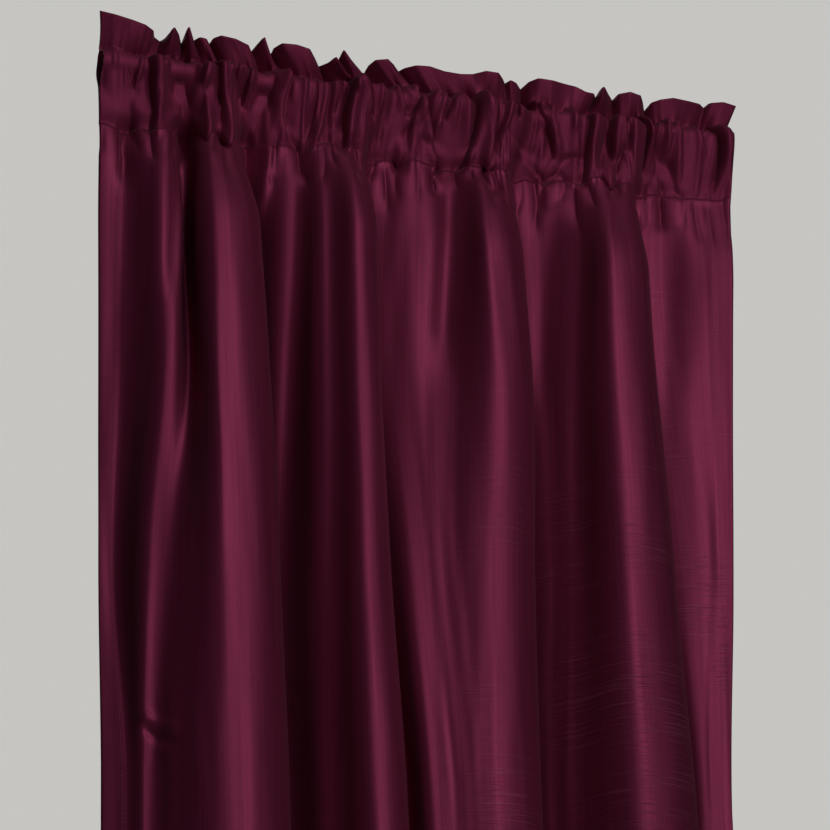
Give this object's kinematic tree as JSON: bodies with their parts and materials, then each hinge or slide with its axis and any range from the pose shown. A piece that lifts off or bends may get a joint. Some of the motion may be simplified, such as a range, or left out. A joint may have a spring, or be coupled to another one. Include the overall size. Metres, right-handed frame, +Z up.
{
  "type": "rod pocket curtain",
  "caption": "Gathered unlined silk curtain with a ruffled frill over a rod pocket that is open at both ends, hanging in deep uneven folds to a level hem.",
  "frame": {"origin": "on the rod's axis, in the rod pocket at the middle of the gathered width", "axes": "+X along the rod to the right as seen from the room, +Y from the room towards the window, +Z up"},
  "size_m": [0.6573, 0.0989, 2.1236],
  "materials": {
    "silk": "slubby plain-weave silk with a soft directional sheen, deep burgundy plum"
  },
  "bodies": {
    "root": {"heading": "silk", "panel": "silk"}
  },
  "joints": []
}
